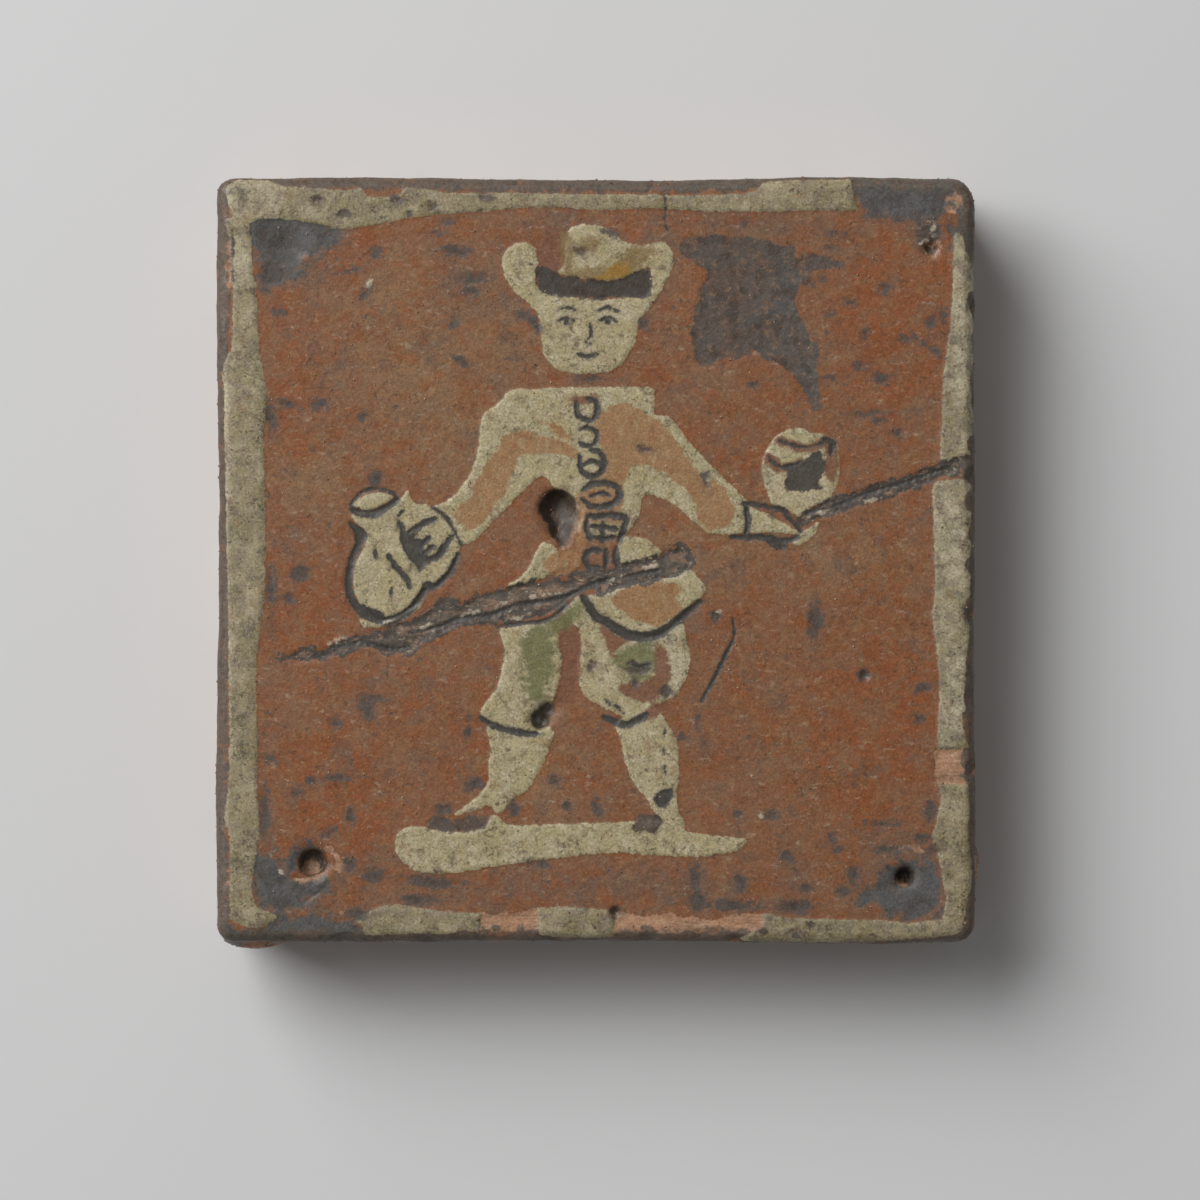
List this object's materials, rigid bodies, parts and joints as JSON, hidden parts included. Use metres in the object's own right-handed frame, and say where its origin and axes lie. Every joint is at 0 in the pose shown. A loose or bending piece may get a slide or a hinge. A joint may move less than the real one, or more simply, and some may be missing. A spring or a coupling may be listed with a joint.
{
  "type": "glazed earthenware tile",
  "caption": "Square hand-made red earthenware tile with a worn slip-drawn picture under lead glaze, for a floor, hearth or wall. It lies on its flat unglazed back.",
  "frame": {"origin": "middle of the flat unglazed back", "axes": "+Z out of the glazed face, +Y towards the side that is the top of the picture"},
  "size_m": [0.1349, 0.1366, 0.025],
  "materials": {
    "glazed_earthenware": "worn lead glaze over red clay and white slip, satin"
  },
  "bodies": {
    "root": {"tile": "glazed_earthenware"}
  },
  "joints": []
}
